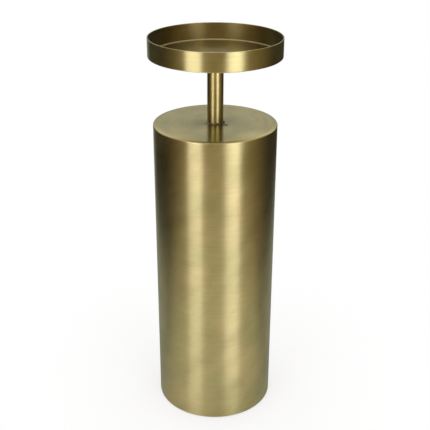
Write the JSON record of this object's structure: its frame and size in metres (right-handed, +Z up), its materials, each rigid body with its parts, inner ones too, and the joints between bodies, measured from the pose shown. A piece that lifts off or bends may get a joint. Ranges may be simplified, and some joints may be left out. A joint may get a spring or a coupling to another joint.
{
  "type": "pillar candle holder",
  "caption": "Tall cylindrical pillar with a thin stem and a shallow round dish on top, which holds a pillar candle; antique brass, standing on felt pads.",
  "frame": {"origin": "centre of the supporting surface, on the pillar's axis", "axes": "+Z up along the axis of the pillar, the stem and the dish; -Y towards the front; the pillar's seam weld is on the inside at +Y"},
  "size_m": [0.13, 0.13, 0.4],
  "materials": {
    "pillar_brass": "satin",
    "stem_brass": "satin",
    "dish_brass": "satin",
    "braze": "matte",
    "solder": "satin",
    "weld_steel": "satin",
    "plate_steel": "satin",
    "screw_steel": "satin",
    "felt": "matte"
  },
  "bodies": {
    "root": {"pillar_shell": "pillar_brass", "pillar_top_plate": "pillar_brass", "top_edge_weld": "pillar_brass", "shell_seam_weld": "braze", "base_plate": "plate_steel", "base_tack_welds": "weld_steel", "felt_pads": "felt", "stem_tube": "stem_brass", "stem_plug": "plate_steel", "stem_backing_plate": "plate_steel", "stem_foot_braze": "braze", "stem_inner_weld": "braze", "dish_wall": "dish_brass", "dish_floor": "dish_brass", "dish_solder": "solder", "dish_backing_washer": "plate_steel", "dish_screw": "screw_steel"}
  },
  "joints": []
}
